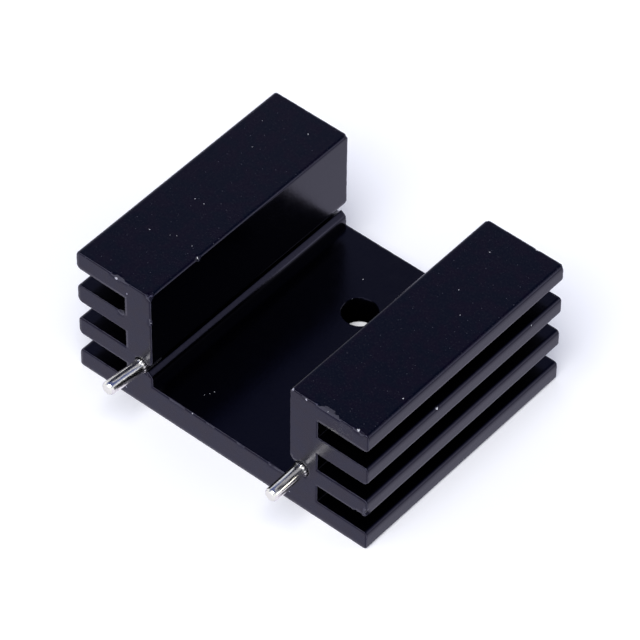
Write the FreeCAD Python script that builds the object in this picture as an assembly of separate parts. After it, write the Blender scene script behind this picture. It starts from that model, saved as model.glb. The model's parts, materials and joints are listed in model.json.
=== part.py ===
"""Transistor heat sink: a finned channel body with two solder pins pressed into its front end.

Frame: the origin is the centre of the underside, +Z is up, X runs across the fins, and the
pins stick out of the front end along -Y. All sizes are in millimetres.
"""
import FreeCAD, Part
import math
import os

# Extruded body
body_width = 32.0
body_height = 14.0
body_length = 25.4
base_thickness = 3.0
channel_width = 15.3

# Fins on the outer sides: the top one is flush with the top, the lowest with the underside
fins_per_side = 4
fin_thickness = 2.0
slot_depth = 5.4

# Rounds that the extrusion die leaves along the section
fin_tip_upper_round = 0.3
fin_tip_lower_round = 0.5
underside_round = 0.3
slot_corner_round = 0.15
channel_top_round = 0.3
channel_foot_round = 0.2

# Pin groove at the foot of each channel wall, open to the channel through a rounded mouth
groove_inset = 1.24
groove_rise = 1.9
groove_mouth = 0.8
lip_round = 0.7
wall_foot_round = 0.75

# Clearance hole for the screw that holds the transistor down
hole_diameter = 3.2
hole_from_back = 7.25

# Solder pins
pin_diameter = 1.3
pin_projection = 4.0
pin_press_depth = 2.0
pin_end_chamfer = 0.2
knurl_diameter = 1.5
knurl_ridges = 12
knurl_projection = 0.45
knurl_taper = 0.2
knurl_clearance = 0.03

# Places that follow from the sizes
half_width = body_width / 2
half_channel = channel_width / 2
front_y = -body_length / 2
slot_floor_x = half_width - slot_depth
fin_pitch = (body_height - fin_thickness) / (fins_per_side - 1)
slot_height = fin_pitch - fin_thickness
pin_x = half_channel + groove_inset
pin_z = base_thickness + groove_rise
groove_radius = knurl_diameter / 2 + knurl_clearance
hole_y = body_length / 2 - hole_from_back


def section_point(x, z, y=front_y):
    """A point of the section, which lies in a plane across the body."""
    return FreeCAD.Vector(x, y, z)


def rounded_outline(corners):
    """A closed wire in the section plane, from corners given as x, z and the radius of their round."""
    edges = []
    starts = []
    ends = []
    for index, (x, z, radius) in enumerate(corners):
        corner = section_point(x, z)
        before = section_point(*corners[index - 1][:2]) - corner
        after = section_point(*corners[(index + 1) % len(corners)][:2]) - corner
        half_angle = before.getAngle(after) / 2
        reach = radius / math.tan(half_angle)
        before.normalize()
        after.normalize()
        start = corner + before * reach
        end = corner + after * reach
        starts.append(start)
        ends.append(end)
        if radius > 0:
            towards_centre = (before + after).normalize()
            middle = corner + towards_centre * (radius / math.sin(half_angle) - radius)
            edges.append(Part.Arc(start, middle, end).toShape())
    for index in range(len(corners)):
        start = ends[index - 1]
        end = starts[index]
        if start.distanceToPoint(end) > 1e-6:
            edges.append(Part.LineSegment(start, end).toShape())
    return Part.Wire(Part.__sortEdges__(edges))


def extrude_along_body(wire, length):
    """A prism from a section wire, from the front end towards the back."""
    return Part.Face(wire).extrude(FreeCAD.Vector(0, length, 0))


def side_corners():
    """Corners of the right half of the section, from the channel floor round to the underside."""
    tip_upper = min(fin_tip_upper_round, fin_thickness / 3)
    tip_lower = min(fin_tip_lower_round, fin_thickness / 2)
    slot_round = min(slot_corner_round, slot_height / 3)
    corners = [
        (half_channel, base_thickness, channel_foot_round),
        (half_channel, body_height, channel_top_round),
    ]
    for step in range(fins_per_side - 1):
        fin_top = body_height - step * fin_pitch
        fin_underside = fin_top - fin_thickness
        corners += [
            (half_width, fin_top, tip_upper),
            (half_width, fin_underside, tip_lower),
            (slot_floor_x, fin_underside, slot_round),
            (slot_floor_x, fin_underside - slot_height, slot_round),
        ]
    corners += [
        (half_width, fin_thickness, tip_upper),
        (half_width, 0, underside_round),
    ]
    return corners


def body_section():
    """The whole section: the right half and its mirror image."""
    right = side_corners()
    left = [(-x, z, radius) for x, z, radius in reversed(right)]
    return rounded_outline(right + left)


def groove_mouth_wire(side):
    """The opening from the channel into the groove: narrow inside, flared round the lip and the wall's foot."""
    lip_top = pin_z - groove_mouth / 2
    wall_foot = pin_z + groove_mouth / 2
    face = side * half_channel
    diagonal = math.sqrt(0.5)

    def flare(z, radius, direction):
        """The quarter round between the channel wall and the mouth, as its two ends and its middle."""
        centre_x = half_channel + radius
        centre_z = z + direction * radius
        on_wall = section_point(face, centre_z)
        in_mouth = section_point(side * centre_x, z)
        middle = section_point(
            side * (centre_x - radius * diagonal),
            centre_z - direction * radius * diagonal,
        )
        return on_wall, middle, in_mouth

    lip_wall, lip_middle, lip_inner = flare(lip_top, lip_round, -1)
    foot_wall, foot_middle, foot_inner = flare(wall_foot, wall_foot_round, 1)
    lip_end = section_point(side * pin_x, lip_top)
    foot_end = section_point(side * pin_x, wall_foot)
    return Part.Wire([
        Part.Arc(lip_wall, lip_middle, lip_inner).toShape(),
        Part.LineSegment(lip_inner, lip_end).toShape(),
        Part.LineSegment(lip_end, foot_end).toShape(),
        Part.LineSegment(foot_end, foot_inner).toShape(),
        Part.Arc(foot_inner, foot_middle, foot_wall).toShape(),
        Part.LineSegment(foot_wall, lip_wall).toShape(),
    ])


def pin_groove(side):
    """What the pin groove takes out of one side: a round bore and its mouth, from end to end."""
    mouth = extrude_along_body(groove_mouth_wire(side), body_length)
    bore = Part.makeCylinder(
        groove_radius, body_length, section_point(side * pin_x, pin_z), FreeCAD.Vector(0, 1, 0))
    return mouth.fuse(bore)


def finned_body():
    """The extruded body with its two grooves and the screw hole in its floor."""
    body = extrude_along_body(body_section(), body_length)
    for side in (-1, 1):
        body = body.cut(pin_groove(side))
    hole = Part.makeCylinder(hole_diameter / 2, base_thickness, FreeCAD.Vector(0, hole_y, 0))
    return body.cut(hole).removeSplitter()


def knurl_wire(scale, y):
    """Cross-section of the knurled stretch: ridges that rise from the shank to the knurl's diameter."""
    valley = pin_diameter / 2
    crest = valley + (knurl_diameter - pin_diameter) / 2 * scale
    points = []
    for step in range(2 * knurl_ridges):
        radius = crest if step % 2 == 0 else valley
        angle = math.pi * step / knurl_ridges
        points.append(FreeCAD.Vector(radius * math.cos(angle), y, radius * math.sin(angle)))
    return Part.makePolygon(points + points[:1])


def knurl():
    """Ridged stretch that grips the groove; its ridges run out in a short taper outside the front end."""
    taper_start = -knurl_projection
    taper_end = taper_start + knurl_taper
    almost_flat = 0.05
    taper = Part.makeLoft([knurl_wire(almost_flat, taper_start), knurl_wire(1, taper_end)], True, True)
    ridges = Part.Face(knurl_wire(1, taper_end)).extrude(FreeCAD.Vector(0, pin_press_depth - taper_end, 0))
    return taper.fuse(ridges)


def solder_pin(side):
    """One pin: a round shank, chamfered at both ends, with the knurl round its pressed part."""
    length = pin_projection + pin_press_depth
    shank = Part.makeCylinder(
        pin_diameter / 2, length, FreeCAD.Vector(0, -pin_projection, 0), FreeCAD.Vector(0, 1, 0))
    rims = [edge for edge in shank.Edges if isinstance(edge.Curve, Part.Circle)]
    shank = shank.makeChamfer(min(pin_end_chamfer, pin_diameter / 4), rims)
    pin = shank.fuse(knurl()).removeSplitter()
    pin.translate(section_point(side * pin_x, pin_z))
    return pin


pieces = {
    "finned_body": finned_body(),
    "left_solder_pin": solder_pin(-1),
    "right_solder_pin": solder_pin(1),
}

os.makedirs("parts", exist_ok=True)
for name, shape in pieces.items():
    solid = shape.Solids[0]
    solid.exportStep(f"parts/{name}.step")
    box = solid.BoundBox
    print(
        f"{name}: {len(shape.Solids)} solid, valid {solid.isValid()}, volume {solid.Volume:.2f} mm3, "
        f"X {box.XMin:.3f} to {box.XMax:.3f}, Y {box.YMin:.3f} to {box.YMax:.3f}, "
        f"Z {box.ZMin:.3f} to {box.ZMax:.3f}")
print(f"pin spacing {2 * pin_x:.2f} mm, fin pitch {fin_pitch:.2f} mm, slot height {slot_height:.2f} mm")
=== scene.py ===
# %% [markdown]
# # A transistor heat sink, finished for the camera
# The part is a sawn length of black anodised aluminium extrusion, with two tinned pins pressed
# into its front end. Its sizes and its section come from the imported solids. This file gives them
# their ragged sawn rims, their nicks and their finishes, and then sets up the picture.
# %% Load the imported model
import json
import math

import bmesh
import bpy
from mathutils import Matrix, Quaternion, Vector, noise


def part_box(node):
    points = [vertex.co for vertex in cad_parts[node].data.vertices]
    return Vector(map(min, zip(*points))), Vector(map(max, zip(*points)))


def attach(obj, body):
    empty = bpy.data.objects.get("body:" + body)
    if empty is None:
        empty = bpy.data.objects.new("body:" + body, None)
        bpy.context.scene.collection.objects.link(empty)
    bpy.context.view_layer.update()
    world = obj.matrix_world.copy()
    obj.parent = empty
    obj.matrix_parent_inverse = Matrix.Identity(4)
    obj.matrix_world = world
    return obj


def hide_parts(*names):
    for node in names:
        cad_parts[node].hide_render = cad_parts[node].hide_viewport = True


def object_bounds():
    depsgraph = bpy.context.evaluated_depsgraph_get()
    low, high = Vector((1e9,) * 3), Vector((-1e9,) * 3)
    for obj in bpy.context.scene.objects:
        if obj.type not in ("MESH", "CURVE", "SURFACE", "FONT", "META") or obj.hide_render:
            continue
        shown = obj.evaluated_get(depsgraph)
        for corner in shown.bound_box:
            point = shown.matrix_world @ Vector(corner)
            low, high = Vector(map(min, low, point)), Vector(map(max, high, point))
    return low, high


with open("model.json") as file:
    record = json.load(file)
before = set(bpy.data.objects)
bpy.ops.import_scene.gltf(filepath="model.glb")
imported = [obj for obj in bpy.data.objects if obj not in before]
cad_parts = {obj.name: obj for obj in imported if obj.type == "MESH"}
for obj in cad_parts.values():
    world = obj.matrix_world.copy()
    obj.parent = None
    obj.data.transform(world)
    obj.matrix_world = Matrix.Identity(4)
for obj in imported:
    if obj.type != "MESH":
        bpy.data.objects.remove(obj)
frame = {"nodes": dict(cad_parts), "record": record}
cad_low, cad_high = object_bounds()
MM = 0.001
body_low, body_high = (Vector(corner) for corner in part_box("finned_body"))
FRONT_Y, BACK_Y, TOP_Z = body_low.y, body_high.y, body_high.z


def size_in_mm(low, high):
    """The size of a box along X, Y and Z, in millimetres."""
    return [round((b - a) / MM, 2) for a, b in zip(low, high)]


print("solids:", sorted(frame["nodes"]), "size in mm:", size_in_mm(cad_low, cad_high))

# %% [markdown]
# ## The camera
# The part was photographed with a long lens from the front right and well above, so its parallel
# edges hardly meet. The angles and the distance follow from the straight edges in the picture. A
# camera can be aimed with a constraint, but plain angles are easier to read and to change.
# %% Place the camera
CAMERA_AZIMUTH = 39.95
CAMERA_ELEVATION = 47.02
CAMERA_ROLL = 0.64
CAMERA_DISTANCE = 394.25 * MM
CAMERA_TARGET = Vector((-3.80, 4.65, -0.035)) * MM
LENS_MM = 255.5


def direction(azimuth, elevation):
    """Unit vector from the part towards something seen at these angles, in degrees."""
    turn, rise = math.radians(azimuth), math.radians(elevation)
    return Vector((math.sin(turn) * math.cos(rise), -math.cos(turn) * math.cos(rise), math.sin(rise)))


def look_back(towards):
    """The turn of a camera or lamp that stands in this direction and looks at the part."""
    return (-towards).to_track_quat("-Z", "Y")


camera_data = bpy.data.cameras.new("camera")
camera_data.lens = LENS_MM
camera = bpy.data.objects.new("camera", camera_data)
bpy.context.scene.collection.objects.link(camera)
towards_camera = direction(CAMERA_AZIMUTH, CAMERA_ELEVATION)
camera.location = CAMERA_TARGET + towards_camera * CAMERA_DISTANCE
camera.rotation_mode = "QUATERNION"
camera_roll = Quaternion((0, 0, 1), math.radians(CAMERA_ROLL))
camera.rotation_quaternion = look_back(towards_camera) @ camera_roll
bpy.context.scene.camera = camera
bpy.context.scene.view_settings.view_transform = "Standard"
print("camera at", tuple(round(value / MM, 1) for value in camera.location), "mm")

# %% [markdown]
# ## The section of the extrusion
# On the real object the section was set by a steel die: fins, rounds and the two grooves for the
# pins all came out of the press in one stroke. The section could be drawn again from numbers, but
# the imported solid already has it, so a cut through a copy of that solid gives the outline exactly.
# The cut is a bisection with both sides cleared, which leaves a closed ring of edges.
# %% Cut the outline out of the solid
OUTLINE_STEP = 0.16 * MM
WELD = 0.0005 * MM


def section_ring(node_name, cut_y):
    """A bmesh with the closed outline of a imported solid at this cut, in evenly short edges."""
    form = bmesh.new()
    form.from_mesh(frame["nodes"][node_name].data)
    bmesh.ops.remove_doubles(form, verts=form.verts, dist=WELD)
    bmesh.ops.bisect_plane(
        form, geom=form.verts[:] + form.edges[:] + form.faces[:], dist=WELD / 10,
        plane_co=(0, cut_y, 0), plane_no=(0, 1, 0), clear_inner=True, clear_outer=True)
    bmesh.ops.remove_doubles(form, verts=form.verts, dist=WELD)
    bmesh.ops.dissolve_limit(form, angle_limit=math.radians(1), verts=form.verts, edges=form.edges)
    by_cuts = {}
    for edge in form.edges:
        cuts = math.ceil(edge.calc_length() / OUTLINE_STEP) - 1
        if cuts > 0:
            by_cuts.setdefault(cuts, []).append(edge)
    for cuts, edges in sorted(by_cuts.items()):
        bmesh.ops.subdivide_edges(form, edges=edges, cuts=cuts)
    return form


body_form = section_ring("finned_body", 0.0)
print("outline:", len(body_form.verts), "points,", len(body_form.edges), "edges")

# %% [markdown]
# ## Worn tops of the fin tips
# On the real object each fin tip falls back a little towards its upper edge. A bevel would make a
# flat there, so the outline's own points are moved instead, by an amount that fades out downwards.
# The widest place of each tip stays where it is, and so does the part's width.
# %% Wear the tops of the fin tips
CROWN_DEPTH = 0.07 * MM
CROWN_FALL = 0.65 * MM
FIN_PITCH = 4.0 * MM
TIP_REACH = 0.32 * MM


def worn_inset(place):
    """How far a fin's outer face lies back at this height: most at its top edge, nothing lower down."""
    below_top = (TOP_Z - place.z) % FIN_PITCH
    return CROWN_DEPTH * max(0, 1 - below_top / CROWN_FALL) ** 2


for vert in body_form.verts:
    if abs(vert.co.x) > body_high.x - TIP_REACH:
        vert.co.x -= math.copysign(worn_inset(vert.co), vert.co.x)
print("fin tips worn back by up to", round(CROWN_DEPTH / MM, 3), "mm")

# %% [markdown]
# ## Inner corners and lips
# The slots and the foot of the channel have nearly sharp inner corners, and the lip below each pin
# groove is made of soft flats, where the solids carry plain rounds. The rounds could be cut away
# and drawn anew. Here the points of each round are pushed out onto the flats that should meet
# there, which keeps the ring closed and its points in their order.
# %% Helpers that reshape a round
ROUND_MATCH_MM = 0.02
ROUND_END_MM = 0.004


def spread(across, up, flats, sharpness):
    """How far out a softened corner lies in this direction. Each flat is (normal x, normal z, reach)."""
    total = sum(
        max(0, across * flat_x + up * flat_z) ** sharpness / reach ** sharpness
        for flat_x, flat_z, reach in flats)
    return total ** (-1 / sharpness)


def reshape_round(form, side, centre_x, centre_z, radius, flats, sharpness):
    """Move the points of one round out onto the flats that replace it. Sizes are in millimetres."""
    on_round = []
    for vert in form.verts:
        across, up = side * vert.co.x / MM - centre_x, vert.co.z / MM - centre_z
        gap = math.hypot(across, up)
        outwards = all(
            across * flat_x + up * flat_z > -ROUND_END_MM for flat_x, flat_z, _ in flats[:2])
        if abs(gap - radius) < ROUND_MATCH_MM and outwards:
            on_round.append((vert, across / gap, up / gap))
    for vert, across, up in on_round:
        out = spread(across, up, flats, sharpness)
        vert.co.x = side * (centre_x + across * out) * MM
        vert.co.z = (centre_z + up * out) * MM
    if len(flats) == 2 and on_round:
        # the point nearest the middle becomes the corner itself
        middle, across, up = min(on_round, key=lambda item: abs(abs(item[1]) - abs(item[2])))
        middle.co.x = side * (centre_x + math.copysign(radius, across)) * MM
        middle.co.z = (centre_z + math.copysign(radius, up)) * MM


# %% Square up the inner corners and flatten the lips
SLOT_FLOOR_X = 10.6
SLOT_LOWS_Z = (2.0, 6.0, 10.0)
SLOT_HEIGHT = 2.0
SLOT_ROUND = 0.15
CHANNEL_X = 7.65
CHANNEL_FLOOR_Z = 3.0
FOOT_ROUND = 0.2
INNER_SHARPNESS = 60
INNER_CORNERS_MM = [
    # centre of the round as x and z, the round's radius, and which way its corner lies in x and z
    (CHANNEL_X - FOOT_ROUND, CHANNEL_FLOOR_Z + FOOT_ROUND, FOOT_ROUND, 1, -1),
]
for slot_low in SLOT_LOWS_Z:
    round_x = SLOT_FLOOR_X + SLOT_ROUND
    INNER_CORNERS_MM.append((round_x, slot_low + SLOT_ROUND, SLOT_ROUND, -1, -1))
    INNER_CORNERS_MM.append((round_x, slot_low + SLOT_HEIGHT - SLOT_ROUND, SLOT_ROUND, -1, 1))

LIP_ROUND = 0.7
LIP_TOP_Z = 4.5
LIP_SHARPNESS = 20
LIP_TILTED_FLATS = ((40, 0.61), (70, 0.69))
LIP_FLATS = [(-1, 0, LIP_ROUND), (0, 1, LIP_ROUND)]
for tilt, reach in LIP_TILTED_FLATS:
    LIP_FLATS.append((-math.sin(math.radians(tilt)), math.cos(math.radians(tilt)), reach))

for side in (-1, 1):
    for centre_x, centre_z, radius, out_x, out_z in INNER_CORNERS_MM:
        corner_flats = ((out_x, 0, radius), (0, out_z, radius))
        reshape_round(body_form, side, centre_x, centre_z, radius, corner_flats, INNER_SHARPNESS)
    reshape_round(
        body_form, side, CHANNEL_X + LIP_ROUND, LIP_TOP_Z - LIP_ROUND, LIP_ROUND,
        LIP_FLATS, LIP_SHARPNESS)
print("inner corners squared:", 2 * len(INNER_CORNERS_MM),
      "outline in one loop:", all(len(vert.link_edges) == 2 for vert in body_form.verts))

# %% [markdown]
# ## From outline to bar
# A long body could be one extrusion with two caps. Its sawn ends need more: close rings of points,
# so that burrs and chips can be real shapes, and wide rings in the middle where nothing happens.
# So the outline is moved to the front end and extruded ring by ring towards the back.
# %% Extrude the bar in rings
END_RINGS_MM = (0.0, 0.05, 0.1, 0.16, 0.24, 0.34, 0.48, 0.7, 1.05)
MIDDLE_RINGS = 14
RIM_INSET = 0.035 * MM


def ring_stations():
    """Distances along the body at which it gets a ring of points, dense at both ends."""
    front = [FRONT_Y + step * MM for step in END_RINGS_MM]
    back = [BACK_Y - step * MM for step in reversed(END_RINGS_MM)]
    span = back[0] - front[-1]
    middle = [front[-1] + span * step / MIDDLE_RINGS for step in range(1, MIDDLE_RINGS)]
    return front + middle + back


def extrude_ring(form, edges, shift):
    """Extrude a ring of edges and move the new ring; gives back the new ring's edges."""
    made = bmesh.ops.extrude_edge_only(form, edges=edges)["geom"]
    verts = [item for item in made if isinstance(item, bmesh.types.BMVert)]
    bmesh.ops.translate(form, verts=verts, vec=shift)
    new = set(verts)
    return [item for item in made
            if isinstance(item, bmesh.types.BMEdge) and new.issuperset(item.verts)]


stations = ring_stations()
bmesh.ops.translate(body_form, verts=body_form.verts, vec=(0, stations[0], 0))
first_ring = body_form.edges[:]
ring = first_ring
for before, after in zip(stations, stations[1:]):
    ring = extrude_ring(body_form, ring, (0, after - before, 0))
body_form.normal_update()
bmesh.ops.recalc_face_normals(body_form, faces=body_form.faces)
body_form.normal_update()
rims = [sorted({vert for edge in edges for vert in edge.verts}, key=lambda vert: vert.index)
        for edges in (first_ring, ring)]
caps = [face for edges in (first_ring, ring)
        for face in bmesh.ops.contextual_create(body_form, geom=edges)["faces"]]
for rim in rims:
    for vert in rim:
        vert.co -= Vector((vert.normal.x, 0, vert.normal.z)) * RIM_INSET
print("bar:", len(body_form.verts), "points,", len(body_form.faces), "faces")

# %% [markdown]
# ## Cells on the sawn ends
# A cap of one big face would stretch every chip into long thin triangles. So each cap is sliced
# into small cells by upright and level planes, in the way that one would draw graph paper over it.
# %% Slice the sawn ends into cells
CELL = 0.3 * MM


def with_edges_and_points(faces):
    """These faces with all their edges and points, as a bisection wants them."""
    edges = {edge for face in faces for edge in face.edges}
    return list(set(faces) | edges | {vert for face in faces for vert in face.verts})


def slice_faces(form, faces, axis, low, high, step):
    """Cut these faces at even steps along one axis; gives back the cells."""
    normal = Vector([1.0 if index == axis else 0.0 for index in range(3)])
    for count in range(1, math.ceil((high - low) / step)):
        cut = bmesh.ops.bisect_plane(
            form, geom=with_edges_and_points(faces), dist=WELD,
            plane_co=normal * (low + step * count), plane_no=normal)
        faces = {item for item in cut["geom"] if isinstance(item, bmesh.types.BMFace)}
    return faces


for end, cap in zip(("front", "back"), caps):
    cells = slice_faces(body_form, {cap}, 0, body_low.x, body_high.x, CELL)
    cells = slice_faces(body_form, cells, 2, body_low.z, body_high.z, CELL)
    print("the", end, "end has", len(cells), "cells")
bmesh.ops.recalc_face_normals(body_form, faces=body_form.faces)
body_form.normal_update()
print("closed:", all(edge.is_manifold for edge in body_form.edges))

# %% [markdown]
# ## Turned shapes
# The screw hole's drill and both pins are round about an axis that runs along or up the part. A
# cylinder primitive has no chamfers, so each of them is a short line of points spun into a full
# turn. A full spin merges its first and last copies, and the poles on the axis are welded after it.
# %% A helper that spins a profile
def turned_form(profile, centre, axis, across, steps):
    """A closed bmesh of revolution. The profile lists (distance along the axis, radius)."""
    form = bmesh.new()
    along, out = Vector(axis), Vector(across)
    points = [form.verts.new(Vector(centre) + along * place + out * radius)
              for place, radius in profile]
    line = [form.edges.new(pair) for pair in zip(points, points[1:])]
    bmesh.ops.spin(
        form, geom=points + line, cent=centre, axis=axis, angle=math.tau, steps=steps,
        use_merge=True, use_duplicate=False)
    bmesh.ops.remove_doubles(form, verts=form.verts, dist=WELD)
    bmesh.ops.recalc_face_normals(form, faces=form.faces)
    return form


def form_to_object(form, name):
    """A new object at the origin with this form as its mesh."""
    mesh = bpy.data.meshes.new(name)
    form.to_mesh(mesh)
    form.free()
    piece = bpy.data.objects.new(name, mesh)
    bpy.context.scene.collection.objects.link(piece)
    return piece


# %% [markdown]
# ## The screw hole
# The hole was drilled after the sawing and its rims were broken lightly. It is cut with a Boolean
# from a drill shape that flares at both faces of the floor. The Boolean is applied at once, so that
# the nicks below work on the final mesh.
# %% Drill the floor
hole = next(mount for mount in frame["record"]["mounts"] if mount["name"] == "device_hole")
HOLE_RADIUS = hole["dims"]["r_mm"] * MM
FLOOR_Z = hole["dims"]["length_mm"] * MM
HOLE_CENTRE = Vector((hole["pos_m"][0], hole["pos_m"][1], 0))
HOLE_BREAK = 0.09 * MM
DRILL_OVERSHOOT = 0.5 * MM
DRILL_STEPS = 96
DRILL_PROFILE = (
    (-DRILL_OVERSHOOT, 0),
    (-DRILL_OVERSHOOT, HOLE_RADIUS + HOLE_BREAK + DRILL_OVERSHOOT),
    (HOLE_BREAK, HOLE_RADIUS),
    (FLOOR_Z - HOLE_BREAK, HOLE_RADIUS),
    (FLOOR_Z + DRILL_OVERSHOOT, HOLE_RADIUS + HOLE_BREAK + DRILL_OVERSHOOT),
    (FLOOR_Z + DRILL_OVERSHOOT, 0),
)

bar = form_to_object(body_form, "bar_blank")
drill_form = turned_form(DRILL_PROFILE, HOLE_CENTRE, (0, 0, 1), (1, 0, 0), DRILL_STEPS)
drill = form_to_object(drill_form, "drill")
cut = bar.modifiers.new("drill", "BOOLEAN")
cut.object = drill
cut.operation = "DIFFERENCE"
cut.solver = "EXACT"
drilled_bar = bar.evaluated_get(bpy.context.evaluated_depsgraph_get())
drilled_mesh = bpy.data.meshes.new_from_object(drilled_bar)
for helper in (bar, drill):
    bpy.data.objects.remove(helper)
body_form = bmesh.new()
body_form.from_mesh(drilled_mesh)
bpy.data.meshes.remove(drilled_mesh)
bmesh.ops.dissolve_degenerate(body_form, dist=WELD, edges=body_form.edges[:])
print("drilled bar:", len(body_form.verts), "points,",
      "closed:", all(edge.is_manifold for edge in body_form.edges))

# %% [markdown]
# ## Burrs
# A saw leaves a ragged rim round each end, and a drill a slightly uneven one round the hole. Bump
# shading can't change an outline, so the points near the rims are moved by smooth noise. The noise
# depends on the place alone, so every run gives the same rim.
# %% Roughen the rims
BURR_SIZE = 0.035 * MM
BURR_GRAIN = 0.45 * MM
BURR_REACH = 0.12 * MM
BURR_PUSH = 0.6
BURR_SHRINK = 0.5
FINER_GRAIN = 2.7
FINER_SHARE = 0.5
ON_THE_CUT = 0.01 * MM
HOLE_BURR = 0.015 * MM
HOLE_BURR_GRAIN = 3.0
FINER_SHIFT = Vector((9, 4, 7))
SHRINK_SHIFT = Vector((3, 3, 3))


def burr(place):
    """Smooth seeded noise, mostly between -1 and 1, for a place on the part."""
    coarse = noise.noise(place / BURR_GRAIN)
    return coarse + FINER_SHARE * noise.noise(place / BURR_GRAIN * FINER_GRAIN + FINER_SHIFT)


for vert in body_form.verts:
    to_end = min(vert.co.y - FRONT_Y, BACK_Y - vert.co.y)
    if to_end < BURR_REACH:
        amount = BURR_SIZE * (1 - to_end / BURR_REACH)
        inward = -1 if vert.co.y > 0 else 1
        if to_end > ON_THE_CUT:
            vert.co.y += inward * amount * (BURR_PUSH + BURR_PUSH * burr(vert.co))
        shrink = amount * max(0, BURR_SHRINK + burr(vert.co + SHRINK_SHIFT))
        vert.co -= Vector((vert.normal.x, 0, vert.normal.z)) * shrink
for vert in body_form.verts:
    out = Vector((vert.co.x - HOLE_CENTRE.x, vert.co.y - HOLE_CENTRE.y, 0))
    if abs(out.length - HOLE_RADIUS - HOLE_BREAK) < ON_THE_CUT and vert.co.z > FLOOR_Z / 2:
        vert.co += out.normalized() * HOLE_BURR * burr(vert.co * HOLE_BURR_GRAIN)
print("rims roughened by up to", round(BURR_SIZE / MM, 3), "mm")

# %% [markdown]
# ## Chips
# A part that was tumbled in a bin has chips along its edges, and a saw tears a few out of its rim.
# Sculpting could make them, but it can't be repeated from numbers. So each chip is a small flat
# facet: the points near a place are pressed back onto a plane, which a little noise keeps uneven.
# %% List the chips
CHIPS = (
    # place in mm, reach in mm, direction that the facet faces, depth in mm
    ((-7.65, -12.7, 14.0), 1.15, (1.0, -0.7, 1.0), 0.36),
    ((-7.65, 12.7, 14.0), 0.8, (1.0, 0.8, 1.0), 0.22),
    ((7.65, 12.7, 14.0), 0.8, (-1.0, 0.9, 0.9), 0.23),
    ((16.0, 12.7, 14.0), 0.7, (1.0, 0.9, 0.5), 0.20),
    ((-16.0, 12.7, 14.0), 0.7, (-1.0, 0.9, 0.6), 0.22),
    ((14.9, -12.7, 14.0), 0.5, (0.1, -1.0, 0.9), 0.12),
    ((12.1, -12.7, 14.0), 0.9, (0.0, -0.7, 1.0), 0.13),
    ((10.9, -12.7, 14.0), 0.45, (0.0, -0.8, 1.0), 0.10),
    ((9.3, -12.7, 14.0), 0.35, (0.0, -1.0, 1.0), 0.09),
    ((7.65, -12.7, 14.0), 0.4, (-1.0, -0.8, 1.0), 0.2),
    ((-11.5, -12.7, 14.0), 0.6, (0.1, -0.8, 1.0), 0.15),
    ((-10.5, -12.7, 14.0), 0.4, (0.0, -0.9, 1.0), 0.09),
    ((-7.65, -6.6, 14.0), 0.3, (1.0, 0.0, 1.0), 0.24),
    ((16.0, -3.7, 10.0), 0.25, (1.0, 0.0, 1.0), 0.19),
    ((-11.0, -12.7, 10.1), 0.3, (0.2, -1.0, -0.8), 0.08),
    ((15.0, -12.7, 4.0), 0.35, (0.0, -1.0, -0.8), 0.10),
    ((16.0, -12.7, 4.6), 0.35, (1.0, -1.0, -0.4), 0.22),
    ((13.1, 12.7, 14.0), 0.3, (0.1, 0.8, 1.0), 0.05),
    ((-7.65, -12.7, 10.9), 0.3, (1.0, -1.0, 0.0), 0.11),
    ((-5.3, -12.7, 3.0), 0.5, (0.0, -1.0, 1.0), 0.07),
    ((-4.4, -12.7, 3.0), 0.4, (0.0, -1.0, 0.8), 0.06),
    ((-1.2, -12.7, 3.0), 0.5, (0.0, -0.9, 1.0), 0.06),
    ((2.2, -12.7, 3.0), 0.45, (0.0, -1.0, 1.0), 0.06),
    ((5.9, -12.7, 3.0), 0.55, (0.0, -1.0, 0.9), 0.10),
    ((6.7, -12.7, 3.0), 0.35, (0.0, -1.0, 1.0), 0.06),
)
print(len(CHIPS), "chips to press in")

# %% Press in the chips
CHIP_RINGS = (-1.5, -1.2, -1.0, -0.7, -0.35, 0.0, 0.35, 0.7, 1.0, 1.2, 1.5)
POINT_NEAR = 4
FACE_NEAR = 5
CHIP_UNEVEN = 0.25
CHIP_GRAIN = 1.7


def add_rings_near(form, centre, reach):
    """Cut extra rings across the faces near a chip, where the bar's own rings are far apart."""
    near = {face for face in form.faces
            if any((vert.co - centre).length < POINT_NEAR * reach for vert in face.verts)
            and (face.calc_center_median() - centre).length < FACE_NEAR * reach}
    for share in CHIP_RINGS:
        cut = bmesh.ops.bisect_plane(
            form, geom=with_edges_and_points(near), dist=WELD,
            plane_co=(0, centre.y + reach * share, 0), plane_no=(0, 1, 0))
        near = {item for item in cut["geom"] if isinstance(item, bmesh.types.BMFace)}


for place, reach, facing, depth in CHIPS:
    centre, outward = Vector(place) * MM, Vector(facing).normalized()
    if min(centre.y - FRONT_Y, BACK_Y - centre.y) > END_RINGS_MM[-1] * MM:
        add_rings_near(body_form, centre, reach * MM)
    moved = 0
    for vert in body_form.verts:
        offset = vert.co - centre
        if offset.length < reach * MM:
            over = offset.dot(outward) + depth * MM * (1 + CHIP_UNEVEN * burr(vert.co * CHIP_GRAIN))
            if over > 0:
                vert.co -= outward * over
                moved += 1
    print("chip at", place, "moved", moved, "points")

# %% [markdown]
# ## The finished body
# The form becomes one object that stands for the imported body. Shading by angle keeps the section's
# rounds soft and its edges crisp. The channel floor is shaded flat, because smooth shading across
# its thin faces would draw a halo round the screw hole.
# %% Make the body piece
SMOOTH_BELOW = math.radians(32)
FLAT_ABOVE = 0.9999


def finish_piece(piece, node_name):
    """Shade by angle, keep the channel floor flat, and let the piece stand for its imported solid."""
    piece.data.set_sharp_from_angle(angle=SMOOTH_BELOW)
    for polygon in piece.data.polygons:
        if polygon.normal.z > FLAT_ABOVE and abs(polygon.center.z - FLOOR_Z) < WELD:
            polygon.use_smooth = False
    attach(piece, "root")
    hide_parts(node_name)
    print(piece.name, "stands for", node_name, "with", len(piece.data.polygons), "faces")


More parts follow.
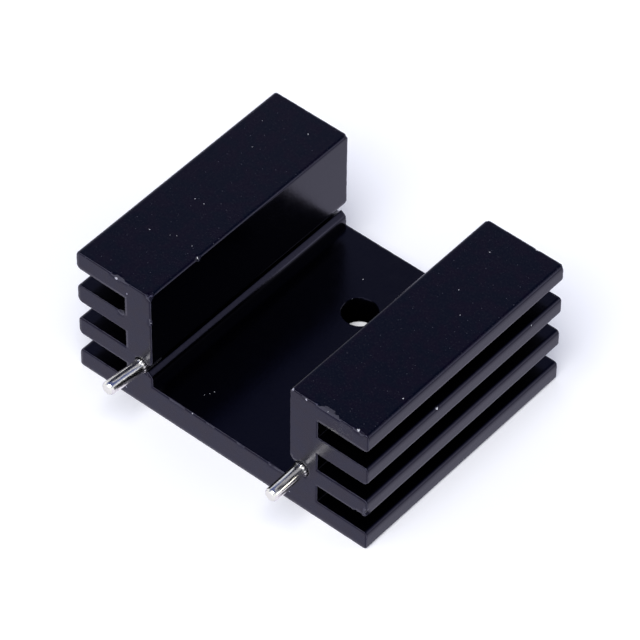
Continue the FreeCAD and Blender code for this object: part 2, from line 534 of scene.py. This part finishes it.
bmesh.ops.triangulate(body_form, faces=body_form.faces[:], quad_method="BEAUTY", ngon_method="BEAUTY")
extruded_body = form_to_object(body_form, "extruded_body")
finish_piece(extruded_body, "finned_body")

# %% [markdown]
# ## The solder pins
# Each pin is tinned wire with a knurled stretch that bites into its groove. The ends of the ridges
# show as a ring of bright teeth where the pin enters the body. A knurl can be cut with Booleans,
# but moving the points of a turned shape in and out by a wave round the axis is simpler and clean.
# The left pin of the real object is bent outwards a little, so it gets a lean.
# %% Shape the knurl
KNURL_TEETH = 14
KNURL_HEIGHT = 0.12 * MM
KNURL_VALLEY = 0.35
KNURL_CREST = 0.65
KNURL_BLUNTNESS = 0.8
# from its outer end to this far inside the groove the teeth are uneven
TEETH_SHOW_TO = 0.25 * MM
TOOTH_MEAN = 0.75
TOOTH_SPREAD = 0.45
TOOTH_GRAIN = 0.8
HIDDEN_TEETH = 0.6


def knurl_wave(angle):
    """Height of the knurl round the pin: a low share in the valleys, and 1 on the crests."""
    return KNURL_VALLEY + KNURL_CREST * (0.5 + 0.5 * math.cos(KNURL_TEETH * angle)) ** KNURL_BLUNTNESS


def tooth_height(place, outside):
    """Height of the teeth: uneven at the groove's mouth, where they show, and all alike further in."""
    if outside > -TEETH_SHOW_TO:
        return KNURL_HEIGHT * (TOOTH_MEAN + TOOTH_SPREAD * burr(place * TOOTH_GRAIN))
    return KNURL_HEIGHT * HIDDEN_TEETH


print("knurl of", KNURL_TEETH, "teeth,", round(KNURL_HEIGHT / MM, 2), "mm high")

# %% Build the pins
PIN_STEPS = 144
PIN_PROFILE_MM = (
    # distance from the free end and radius
    (0.0, 0.0), (0.0, 0.2), (0.0, 0.42), (0.03, 0.50), (0.09, 0.575), (0.18, 0.63), (0.30, 0.65),
    (0.9, 0.65), (1.6, 0.65), (2.3, 0.65), (3.0, 0.65), (3.45, 0.65), (3.62, 0.65), (3.68, 0.65),
    (3.74, 0.65), (3.80, 0.65), (3.86, 0.65), (3.92, 0.65), (4.0, 0.65), (4.4, 0.65), (5.0, 0.65),
)
# distance from the inner end and radius
PIN_BACK_MM = ((0.2, 0.65), (0.0, 0.45), (0.0, 0.0))
# points further than this from the axis lie on the skin, which carries the knurl
PIN_SKIN = 0.6 * MM
# the knurl stands out of the body at full height, and then runs out
KNURL_SHOWS = 0.16 * MM
KNURL_RUNOUT = 0.2 * MM
LEFT_PIN_LEAN = -0.085


def solder_pin(node_name, name, lean):
    """One pin with its knurled root; lean bends the free end sideways, as a slope."""
    low, high = (Vector(corner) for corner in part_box(node_name))
    centre = Vector(((low.x + high.x) / 2, low.y, (low.z + high.z) / 2))
    profile = [(place * MM, radius * MM) for place, radius in PIN_PROFILE_MM]
    profile += [(high.y - low.y - place * MM, radius * MM) for place, radius in PIN_BACK_MM]
    form = turned_form(profile, centre, (0, 1, 0), (1, 0, 0), PIN_STEPS)
    for vert in form.verts:
        out = Vector((vert.co.x - centre.x, 0, vert.co.z - centre.z))
        outside = FRONT_Y - vert.co.y
        if out.length > PIN_SKIN:
            ramp = min(1, max(0, (KNURL_SHOWS + KNURL_RUNOUT - outside) / KNURL_RUNOUT))
            height = tooth_height(Vector((vert.co.x, centre.x, vert.co.z)), outside)
            vert.co += out.normalized() * height * ramp * knurl_wave(math.atan2(out.z, out.x))
        vert.co.x += lean * max(0, outside)
    piece = form_to_object(form, name)
    finish_piece(piece, node_name)
    return piece


left_pin = solder_pin("left_solder_pin", "tinned_pin_left", LEFT_PIN_LEAN)
right_pin = solder_pin("right_solder_pin", "tinned_pin_right", 0.0)

# %% [markdown]
# ## A small helper for materials
# Every finish here is a node tree. One function adds a node, sets its plain values and joins its
# inputs, so that each material below reads as a short list of steps.
# %% Helpers for shader nodes
def add_node(tree, kind, inputs=None, **settings):
    """A shader node with its settings, and its inputs as plain values or as other nodes' outputs."""
    node = tree.nodes.new(kind)
    for name, value in settings.items():
        setattr(node, name, value)
    for name, value in (inputs or {}).items():
        if isinstance(value, bpy.types.NodeSocket):
            tree.links.new(value, node.inputs[name])
        else:
            node.inputs[name].default_value = value
    return node


def maths(tree, operation, *values):
    """The output of one math node."""
    return add_node(tree, "ShaderNodeMath", dict(enumerate(values)), operation=operation).outputs[0]


def step_between(tree, value, low, high, to_low=0.0, to_high=1.0):
    """A smooth step of a value from one level to another."""
    return add_node(
        tree, "ShaderNodeMapRange",
        {"Value": value, "From Min": low, "From Max": high, "To Min": to_low, "To Max": to_high},
        interpolation_type="SMOOTHSTEP").outputs["Result"]


def mixed_colour(tree, amount, low, high):
    """The output of a colour mix; each colour is a plain colour or another node's output."""
    return add_node(tree, "ShaderNodeMix", {0: amount, 6: low, 7: high}, data_type="RGBA").outputs[2]


def mixed_value(tree, amount, low, high):
    """The output of a value mix."""
    return add_node(tree, "ShaderNodeMix", {0: amount, 2: low, 3: high}, data_type="FLOAT").outputs[0]


def object_place(tree):
    """Where a shaded point lies on its piece, in metres."""
    return add_node(tree, "ShaderNodeTexCoord").outputs["Object"]


def new_material(name):
    """An empty node material, with its tree and its output."""
    material = bpy.data.materials.new(name)
    material.use_nodes = True
    material.node_tree.nodes.clear()
    output = material.node_tree.nodes.new("ShaderNodeOutputMaterial")
    return material, material.node_tree, output


def new_group(name, inputs, outputs):
    """An empty node group with named number inputs, given as name and default, and named outputs."""
    tree = bpy.data.node_groups.new(name, "ShaderNodeTree")
    for label, default in inputs:
        socket = tree.interface.new_socket(label, in_out="INPUT", socket_type="NodeSocketFloat")
        socket.default_value = default
    for label in outputs:
        tree.interface.new_socket(label, in_out="OUTPUT", socket_type="NodeSocketFloat")
    return tree, tree.nodes.new("NodeGroupInput"), tree.nodes.new("NodeGroupOutput")


# %% [markdown]
# ## Grain and drawn lines
# Both metals were pulled through a die, the body through the press and the wire through a drawing
# plate, so both carry fine lines along the part. Both also have a fine grain from their coating.
# These two effects are node groups, so that each finish can use them at its own strength.
# %% Make the grain group
PER_METRE = 1000.0
GRAIN_PER_MM = 3.2
MOTTLE_SHARE = 0.22

grain_group, group_in, group_out = new_group(
    "coating_grain", [("Grains per mm", GRAIN_PER_MM)], ["Grain", "Mottle"])
place = object_place(grain_group)
grain_scale = maths(grain_group, "MULTIPLY", group_in.outputs[0], PER_METRE)
fine = add_node(
    grain_group, "ShaderNodeTexNoise",
    {"Vector": place, "Scale": grain_scale, "Detail": 2.5, "Roughness": 0.55})
mottle_scale = maths(grain_group, "MULTIPLY", grain_scale, MOTTLE_SHARE)
coarse = add_node(
    grain_group, "ShaderNodeTexNoise",
    {"Vector": place, "Scale": mottle_scale, "Detail": 2.0, "Roughness": 0.5})
grain_group.links.new(fine.outputs["Fac"], group_out.inputs["Grain"])
grain_group.links.new(coarse.outputs["Fac"], group_out.inputs["Mottle"])
print(grain_group.name, "has", len(grain_group.nodes), "nodes")

# %% Make the drawn lines group
LINES_PER_MM = 6.0
LINE_STRETCH = 0.03

lines_group, group_in, group_out = new_group(
    "drawn_lines", [("Lines per mm", LINES_PER_MM), ("Stretch", LINE_STRETCH)], ["Lines"])
stretch = add_node(
    lines_group, "ShaderNodeCombineXYZ", {"X": 1.0, "Y": group_in.outputs["Stretch"], "Z": 1.0})
along = add_node(
    lines_group, "ShaderNodeVectorMath", {0: object_place(lines_group), 1: stretch.outputs[0]},
    operation="MULTIPLY")
line_scale = maths(lines_group, "MULTIPLY", group_in.outputs[0], PER_METRE)
drawn = add_node(
    lines_group, "ShaderNodeTexNoise",
    {"Vector": along.outputs[0], "Scale": line_scale, "Detail": 3.0, "Roughness": 0.6})
lines_group.links.new(drawn.outputs["Fac"], group_out.inputs["Lines"])
print(lines_group.name, "has", len(lines_group.nodes), "nodes")


def group_node(tree, group, **inputs):
    """A group placed in a material with its own values; each _ in a name stands for a space."""
    node = add_node(tree, "ShaderNodeGroup", node_tree=group)
    for name, value in inputs.items():
        node.inputs[name.replace("_", " ")].default_value = value
    return node


# %% [markdown]
# ## Black anodising
# Anodising is a clear oxide film with black dye in it: almost no colour of its own, and a dull shine
# like that of plastic. So the finish is a dark dielectric, not a metal. The tops carry faint bluish
# and violet patches, a fine grey grain and dust. Below them everything gets a deeper black, which is
# painted shade. The sawn ends are paler and rougher. Where a chip broke the film, bare aluminium
# shows, two bright spots below the pins are painted highlights of light thrown by the pins, and white
# specks lie on the tops and the floor. Places on the part choose between all these, so the material
# reads Object coordinates. An image could hold the marks too, but it would have to be painted first.
# %% Where the film is broken or dusty, and where highlights are painted
BARE_SPOTS_AND_GLINTS_MM = (
    # x, y, z and radius
    (14.82, -12.6, 13.98, 0.18), (7.9, -12.7, 13.97, 0.16), (9.35, -12.7, 13.8, 0.13),
    (-11.45, -12.7, 13.75, 0.2), (-10.28, -12.7, 12.7, 0.12), (-11.0, -12.7, 10.12, 0.12),
    (15.0, -12.66, 4.08, 0.15), (15.86, -12.62, 4.5, 0.16), (-7.78, -6.6, 13.86, 0.15),
    (15.87, -3.7, 9.87, 0.14), (-7.65, -12.7, 10.85, 0.12), (13.1, 12.6, 14.0, 0.13),
    # (-10.75, -12.7, 0.8) and (7.6, -12.7, 1.05) are painted highlights: light that the pins throw onto the
    # front face
    (-10.75, -12.7, 0.8, 0.12), (7.6, -12.7, 1.05, 0.12), (11.6, -12.7, 13.9, 0.1),
    (-3.2, -12.7, 2.93, 0.12),
)
SPECKS_MM = (
    (-13.0, -6.8, 14.0, 0.07), (-11.2, -6.24, 14.0, 0.06), (-10.8, -5.89, 14.0, 0.06),
    (-9.01, -5.93, 14.0, 0.06), (-12.51, -1.58, 14.0, 0.09), (-11.51, -1.57, 14.0, 0.08),
    (-10.3, 10.55, 14.0, 0.1), (-12.92, 6.25, 14.0, 0.07), (-14.37, 9.19, 14.0, 0.08),
    (15.36, -7.6, 14.0, 0.1), (10.33, 9.85, 14.0, 0.08), (11.14, 4.8, 14.0, 0.06),
    (13.03, 2.64, 14.0, 0.06), (-2.31, 8.61, 3.0, 0.12), (-13.05, 10.36, 14.0, 0.05),
    (-1.5, 6.18, 3.0, 0.06), (0.5, 7.04, 3.0, 0.07), (-1.06, 4.14, 3.0, 0.06), (-1.5, 4.7, 3.0, 0.05),
    (-3.5, -10.1, 3.0, 0.06), (-3.35, -9.7, 3.0, 0.05), (-3.75, -10.45, 3.0, 0.05), (2.6, -6.3, 3.0, 0.05),
    (15.93, -2.8, 13.95, 0.07), (15.93, 8.7, 9.85, 0.07), (15.9, 3.1, 13.97, 0.05), (-7.7, 2.4, 13.95, 0.05),
)
WOBBLE_PER_MM = 6.0
WOBBLE_SIZE = 0.25 * MM
SPOT_OUTER = 1.15
SPOT_INNER = 0.75


def spots_mask(tree, place, spots, size):
    """A mask that is 1 inside any of the spots, which have ragged outlines."""
    wobble = add_node(
        tree, "ShaderNodeTexNoise",
        {"Vector": place, "Scale": WOBBLE_PER_MM * PER_METRE, "Detail": 1.0})
    centred = add_node(
        tree, "ShaderNodeVectorMath", {0: wobble.outputs["Color"], 1: (0.5, 0.5, 0.5)},
        operation="SUBTRACT")
    ragged = add_node(
        tree, "ShaderNodeVectorMath", {0: centred.outputs[0], 1: (WOBBLE_SIZE,) * 3, 2: place},
        operation="MULTIPLY_ADD").outputs[0]
    mask = None
    for *spot, radius in spots:
        gap = add_node(
            tree, "ShaderNodeVectorMath", {0: ragged, 1: tuple(value * MM for value in spot)},
            operation="DISTANCE").outputs["Value"]
        reach = radius * size * MM
        inside = step_between(tree, gap, reach * SPOT_OUTER, reach * SPOT_INNER)
        mask = inside if mask is None else maths(tree, "MAXIMUM", mask, inside)
    return mask


print(len(BARE_SPOTS_AND_GLINTS_MM), "bare spots and", len(SPECKS_MM), "specks")

# %% Start the material and find the part's places
BODY_LINES_PER_MM = 5.0
BODY_LINE_STRETCH = 0.02
TOP_DEPTH = 0.2 * MM
RAG_PER_MM = 1.6
BARE_AND_GLINT_SIZE = 0.7
SPECK_SIZE = 0.6
PATCH_LEVELS = (0.40, 0.62)

black_anodised, tree, output = new_material("black_anodised")
place = object_place(tree)
parts = add_node(tree, "ShaderNodeSeparateXYZ", {0: place})
grain = group_node(tree, grain_group, Grains_per_mm=GRAIN_PER_MM)
lines = group_node(tree, lines_group, Lines_per_mm=BODY_LINES_PER_MM, Stretch=BODY_LINE_STRETCH)
rag = add_node(
    tree, "ShaderNodeTexNoise",
    {"Vector": place, "Scale": RAG_PER_MM * PER_METRE, "Detail": 3.0, "Roughness": 0.65}).outputs["Fac"]
from_end = maths(tree, "SUBTRACT", -FRONT_Y, maths(tree, "ABSOLUTE", parts.outputs["Y"]))
at_front = maths(tree, "LESS_THAN", parts.outputs["Y"], 0.0)
at_top = maths(tree, "GREATER_THAN", parts.outputs["Z"], TOP_Z - TOP_DEPTH)
patches = step_between(tree, grain.outputs["Mottle"], *PATCH_LEVELS)
# the bare spots, and two painted highlights below the pins
bare_and_glints = spots_mask(tree, place, BARE_SPOTS_AND_GLINTS_MM, BARE_AND_GLINT_SIZE)
specks = spots_mask(tree, place, SPECKS_MM, SPECK_SIZE)
print("masks for places, patches, bare spots and specks:", len(tree.nodes), "nodes")

# %% [markdown]
# ### Sawn ends
# The film is paler on the saw cut, and the paler skin reaches round the rim by a ragged fraction of
# a millimetre. A hair-thin line along the rim is worn to the metal, and in two places on the front
# the saw tore the top edge. A mask with an even border would look printed, so noise pushes every
# border to and fro.
# %% Mask the sawn ends
SAWN_EDGE = 0.08 * MM
SAWN_RAGGED = 0.20 * MM
SAWN_RAG_LEVELS = (0.52, 0.72)
SAWN_FADE = (1.15, 0.85)
TORN_EDGES_MM = (
    # x of the middle, half the width, and how far the tear reaches over the top
    (11.8, 1.3, 0.46),
    (-11.2, 0.9, 0.26),
)
TORN_CORE = 0.35
TORN_RAG_LEVELS = (0.25, 0.52)
TORN_FADE = 0.06 * MM
RIM_STARTS = (0.004 * MM, 0.014 * MM)
RIM_STOPS = (0.075 * MM, 0.05 * MM)
RIM_RAG_LEVELS = (0.30, 0.55)
RIM_FAINTEST = 0.35

edge_reach = maths(
    tree, "MULTIPLY_ADD", step_between(tree, rag, *SAWN_RAG_LEVELS), SAWN_RAGGED, SAWN_EDGE)
sawn = step_between(tree, maths(tree, "DIVIDE", from_end, edge_reach), *SAWN_FADE)

torn_reach = 0.0
for centre_x, half_width, extra in TORN_EDGES_MM:
    aside = maths(tree, "ABSOLUTE", maths(tree, "SUBTRACT", parts.outputs["X"], centre_x * MM))
    torn = step_between(tree, aside, half_width * MM, half_width * MM * TORN_CORE)
    torn = maths(tree, "MULTIPLY", torn, maths(tree, "MULTIPLY", at_front, at_top))
    torn = maths(tree, "MULTIPLY", torn, step_between(tree, rag, *TORN_RAG_LEVELS))
    torn_reach = maths(tree, "MULTIPLY_ADD", torn, extra * MM, torn_reach)
torn_edge = step_between(tree, maths(tree, "SUBTRACT", torn_reach, from_end), 0.0, TORN_FADE)

rim = maths(
    tree, "MULTIPLY", step_between(tree, from_end, *RIM_STARTS),
    step_between(tree, from_end, *RIM_STOPS))
rim = maths(tree, "MULTIPLY", rim, step_between(tree, rag, *RIM_RAG_LEVELS, RIM_FAINTEST, 1.0))
print("sawn ends masked:", len(tree.nodes), "nodes")

# %% [markdown]
# ### The colours of the film
# The colours are laid over one another like coats: the film with its painted shade below the tops,
# the sawn ends, the torn rims, the dust, the specks, and last the bare metal, which on two spots below
# the pins is a painted highlight. Each mask decides where its own coat shows. Scattered dust could be
# hundreds of spots, but a texture of cells needs three nodes: each cell's own colour sets the size of
# its grain, and half of the cells stay empty.
# %% Mix the colour
FILM_BLACK = (0.0000, 0.0007, 0.0022, 1)
FILM_VIOLET = (0.0010, 0.0001, 0.0020, 1)
# painted shade: the deeper black that everything below the tops gets
PAINTED_SHADE_BLACK = (0.0001, 0.0001, 0.0004, 1)
FINE_PER_MM = 6.5
FINE_LEVELS = (0.54, 0.74)
FINE_GREY = (0.0105, 0.0105, 0.0125, 1)
SAWN_FILM = (0.0008, 0.0010, 0.0058, 1)
SAWN_WARM = (0.0026, 0.0010, 0.0028, 1)
TORN_METAL = (0.042, 0.041, 0.050, 1)
DUST_PER_MM = 1.15
DUST_RADIUS = 0.11
DUST_SHARE = 0.5
DUST_FADE = (-0.01, 0.02)
DUST_GREY = (0.045, 0.045, 0.055, 1)
SPECK_WHITE = (0.55, 0.55, 0.56, 1)
BARE_ALUMINIUM_AND_GLINTS = (0.62, 0.62, 0.64, 1)

fine_grain = add_node(
    tree, "ShaderNodeTexNoise",
    {"Vector": place, "Scale": FINE_PER_MM * PER_METRE, "Detail": 2.0, "Roughness": 0.7})
fine_mask = step_between(tree, fine_grain.outputs["Fac"], *FINE_LEVELS)
dust_cells = add_node(
    tree, "ShaderNodeTexVoronoi", {"Vector": place, "Scale": DUST_PER_MM * PER_METRE},
    voronoi_dimensions="2D")
cell_number = add_node(tree, "ShaderNodeSeparateColor", {0: dust_cells.outputs["Color"]}).outputs[0]
dust_size = maths(tree, "MULTIPLY", maths(tree, "SUBTRACT", cell_number, DUST_SHARE), DUST_RADIUS)
dust_depth = maths(tree, "SUBTRACT", dust_size, dust_cells.outputs["Distance"])
dust = maths(tree, "MULTIPLY", step_between(tree, dust_depth, *DUST_FADE), at_top)

colour = mixed_colour(tree, patches, FILM_BLACK, FILM_VIOLET)
colour = mixed_colour(tree, fine_mask, colour, FINE_GREY)
# painted shade: below the tops the film is mixed to a deeper black
colour = mixed_colour(tree, at_top, PAINTED_SHADE_BLACK, colour)
# the bare metal coat also paints two highlights below the pins
for mask, coat in (
        (sawn, mixed_colour(tree, patches, SAWN_FILM, SAWN_WARM)), (rim, TORN_METAL),
        (torn_edge, TORN_METAL), (dust, DUST_GREY), (specks, SPECK_WHITE), (bare_and_glints, BARE_ALUMINIUM_AND_GLINTS)):
    colour = mixed_colour(tree, mask, colour, coat)
print("colours of the film mixed:", len(tree.nodes), "nodes")

# %% [markdown]
# ### Shine and fine relief
# The film's shine is set by its roughness and its index of refraction, and the dye tints it towards
# blue. The drawn lines and the grain are far too fine to model, so they are a bump, and the specks
# stand up from it. All that is the same everywhere sits on the shader's own sockets.
# %% Finish the anodised material
FILM_ROUGHNESS = 0.15
FILM_MOTTLING = 0.10
SAWN_ROUGHNESS = 0.20
SAWN_GRAININESS = 0.10
SPECK_ROUGHNESS = 0.9
BARE_AND_GLINT_ROUGHNESS = 0.38
FILM_IOR = 1.40
FILM_TINT = (0.51, 0.50, 0.84, 1)
LINE_RELIEF = 0.5
SPECK_RELIEF = 3.0
FILM_BUMP = 0.5
FILM_BUMP_DEPTH = 0.012 * MM

film_rough = maths(tree, "MULTIPLY_ADD", grain.outputs["Mottle"], FILM_MOTTLING, FILM_ROUGHNESS)
sawn_rough = maths(tree, "MULTIPLY_ADD", grain.outputs["Grain"], SAWN_GRAININESS, SAWN_ROUGHNESS)
rough = mixed_value(tree, sawn, film_rough, sawn_rough)
rough = mixed_value(tree, specks, rough, SPECK_ROUGHNESS)
rough = mixed_value(tree, bare_and_glints, rough, BARE_AND_GLINT_ROUGHNESS)
line_height = maths(tree, "MULTIPLY", lines.outputs["Lines"], LINE_RELIEF)
height = maths(tree, "ADD", grain.outputs["Grain"], line_height)
height = maths(tree, "ADD", height, maths(tree, "MULTIPLY", specks, SPECK_RELIEF))
bump = add_node(
    tree, "ShaderNodeBump", {"Strength": FILM_BUMP, "Distance": FILM_BUMP_DEPTH, "Height": height})
film = add_node(
    tree, "ShaderNodeBsdfPrincipled",
    {"Base Color": colour, "Roughness": rough, "Metallic": bare_and_glints, "IOR": FILM_IOR,
     "Specular Tint": FILM_TINT, "Normal": bump.outputs[0]})
tree.links.new(film.outputs[0], output.inputs["Surface"])
extruded_body.data.materials.append(black_anodised)
print(black_anodised.name, "has", len(tree.nodes), "nodes")

# %% [markdown]
# ## Tinned wire
# Bright tin is a true metal: its colour is all reflection. The wire is drawn and then handled, so it
# has fine lengthwise lines and slight dull patches. Its free end was sheared off, which leaves a
# rougher, grainy face that looks paler than the smooth skin.
# %% Mix the tinned finish
TIN_COLOUR = (0.93, 0.91, 0.82, 1)
TIN_DULL = (0.66, 0.645, 0.60, 1)
TIN_SHEARED = (1.0, 1.0, 0.85, 1)
TIN_LINES_PER_MM = 7.0
TIN_LINE_STRETCH = 0.05
TIN_GRAINS_PER_MM = 5.0
DULL_LEVELS = (0.52, 0.75)
SHEAR_STARTS = cad_low[1] + 0.10 * MM
SHEAR_FULL = cad_low[1] + 0.02 * MM
TIN_ROUGHNESS = 0.08
TIN_LINE_ROUGHNESS = 0.18
DULL_ROUGHNESS = 0.12
SHEARED_ROUGHNESS = 0.33
GRAIN_RELIEF = 0.3
SHEARED_RELIEF = 8.0
TIN_BUMP = 0.6
TIN_BUMP_DEPTH = 0.022 * MM

tinned_metal, tree, output = new_material("tinned_metal")
lines = group_node(tree, lines_group, Lines_per_mm=TIN_LINES_PER_MM, Stretch=TIN_LINE_STRETCH)
grain = group_node(tree, grain_group, Grains_per_mm=TIN_GRAINS_PER_MM)
dull = step_between(tree, grain.outputs["Mottle"], *DULL_LEVELS)
tin_place = add_node(tree, "ShaderNodeSeparateXYZ", {0: object_place(tree)})
sheared = step_between(tree, tin_place.outputs["Y"], SHEAR_STARTS, SHEAR_FULL)
colour = mixed_colour(tree, dull, TIN_COLOUR, TIN_DULL)
colour = mixed_colour(tree, sheared, colour, TIN_SHEARED)
rough = maths(tree, "MULTIPLY_ADD", lines.outputs["Lines"], TIN_LINE_ROUGHNESS, TIN_ROUGHNESS)
rough = maths(tree, "MULTIPLY_ADD", dull, DULL_ROUGHNESS, rough)
rough = mixed_value(tree, sheared, rough, SHEARED_ROUGHNESS)
grain_height = maths(tree, "MULTIPLY", grain.outputs["Grain"], GRAIN_RELIEF)
height = maths(tree, "ADD", lines.outputs["Lines"], grain_height)
sheared_grain = maths(tree, "MULTIPLY", grain.outputs["Grain"], sheared)
height = maths(tree, "MULTIPLY_ADD", sheared_grain, SHEARED_RELIEF, height)
bump = add_node(
    tree, "ShaderNodeBump", {"Strength": TIN_BUMP, "Distance": TIN_BUMP_DEPTH, "Height": height})
tin = add_node(
    tree, "ShaderNodeBsdfPrincipled",
    {"Base Color": colour, "Roughness": rough, "Metallic": 1.0, "Normal": bump.outputs[0]})
tree.links.new(tin.outputs[0], output.inputs["Surface"])
for pin in (left_pin, right_pin):
    pin.data.materials.append(tinned_metal)
print(tinned_metal.name, "has", len(tree.nodes), "nodes")

# %% [markdown]
# ## The floor
# Small parts are photographed on a white table. Paper alone would look grey in the corners of the
# picture, so camera rays get a little extra light from it. In the metal's reflections the floor is
# an even white, except for the part's own footprint, which nothing lights and which mirrors dark.
# %% Make the floor
FLOOR_HALF_SIZE = 3.0
FLOOR_WHITE = (0.93, 0.93, 0.93, 1)
CAMERA_LIFT = 0.10
MIRRORED_WHITE = (0.850, 0.830, 1.02, 1)
PLAIN_WHITE = (1, 1, 1, 1)

floor_form = bmesh.new()
bmesh.ops.create_grid(floor_form, x_segments=1, y_segments=1, size=FLOOR_HALF_SIZE)
floor = form_to_object(floor_form, "floor")

floor_paper, tree, output = new_material("floor_paper")
paper = add_node(tree, "ShaderNodeBsdfDiffuse", {"Color": FLOOR_WHITE})
light_path = add_node(tree, "ShaderNodeLightPath")
lift = maths(tree, "MULTIPLY", light_path.outputs["Is Camera Ray"], CAMERA_LIFT)
glow = add_node(tree, "ShaderNodeEmission", {"Color": PLAIN_WHITE, "Strength": lift})
both = add_node(tree, "ShaderNodeAddShader", {0: paper.outputs[0], 1: glow.outputs[0]})
floor_place = add_node(tree, "ShaderNodeSeparateXYZ", {0: object_place(tree)})
across, along = (maths(tree, "ABSOLUTE", floor_place.outputs[axis]) for axis in "XY")
in_the_light = maths(
    tree, "MAXIMUM", maths(tree, "GREATER_THAN", across, body_high.x),
    maths(tree, "GREATER_THAN", along, body_high.y))
mirrored = add_node(tree, "ShaderNodeEmission", {"Color": MIRRORED_WHITE, "Strength": in_the_light})
surface = add_node(
    tree, "ShaderNodeMixShader",
    {0: light_path.outputs["Is Glossy Ray"], 1: both.outputs[0], 2: mirrored.outputs[0]})
tree.links.new(surface.outputs[0], output.inputs["Surface"])
floor.data.materials.append(floor_paper)
print("floor of", 2 * FLOOR_HALF_SIZE, "m")

# %% [markdown]
# ## The room and its lamps
# A light belt round the horizon lights up the sawn ends and the fin tips, and the dim bluish light
# above it is what the tops mirror. Both are the world's colour, mixed by height. A picture of a room
# could light the part too, but two plain colours are easier to tune. Three softboxes add the key
# light and the sheen on the right side.
# %% Light the room
ROOM_LOW = (0.95, 0.97, 1.06, 1)
ROOM_HIGH = (0.078, 0.102, 0.26, 1)
# angles above the horizon, in degrees
BRIGHT_BELT_TOP = 22.0
PLAIN_FROM = 58.0

world = bpy.data.worlds.new("room")
world.use_nodes = True
bpy.context.scene.world = world
tree = world.node_tree
tree.nodes.clear()
upwards = add_node(tree, "ShaderNodeTexCoord").outputs["Generated"]
split = add_node(tree, "ShaderNodeSeparateXYZ", {0: upwards})
height = step_between(
    tree, split.outputs["Z"],
    math.sin(math.radians(BRIGHT_BELT_TOP)), math.sin(math.radians(PLAIN_FROM)))
light_path = add_node(tree, "ShaderNodeLightPath")
room_colour = mixed_colour(tree, height, ROOM_LOW, ROOM_HIGH)
room_colour = mixed_colour(tree, light_path.outputs["Is Camera Ray"], room_colour, PLAIN_WHITE)
background = add_node(tree, "ShaderNodeBackground", {"Color": room_colour})
add_node(tree, "ShaderNodeOutputWorld", {"Surface": background.outputs[0]})
print("bright up to", BRIGHT_BELT_TOP, "degrees, dim from", PLAIN_FROM, "degrees")

# %% Hang the lamps
LAMP_DISTANCE = 0.6
LAMPS = (
    # name, azimuth and elevation in degrees, width in metres, power in watts, colour
    ("front_softbox", 20, 62, 0.40, 3.0, (1, 1, 1)),
    ("right_softbox", 122, 17, 0.20, 0.25, (1.0, 0.97, 0.88)),
    ("back_softbox", 133, 36, 0.15, 0.055, (1.0, 0.97, 0.92)),
)


def soft_lamp(name, azimuth, elevation, width, power, colour):
    """A square softbox that looks at the part from these angles."""
    data = bpy.data.lights.new(name, "AREA")
    data.size = width
    data.energy = power
    data.color = colour
    lamp = bpy.data.objects.new(name, data)
    bpy.context.scene.collection.objects.link(lamp)
    towards_lamp = direction(azimuth, elevation)
    lamp.location = towards_lamp * LAMP_DISTANCE
    lamp.rotation_mode = "QUATERNION"
    lamp.rotation_quaternion = look_back(towards_lamp)


for lamp in LAMPS:
    soft_lamp(*lamp)
print(len(LAMPS), "softboxes at", LAMP_DISTANCE, "m")
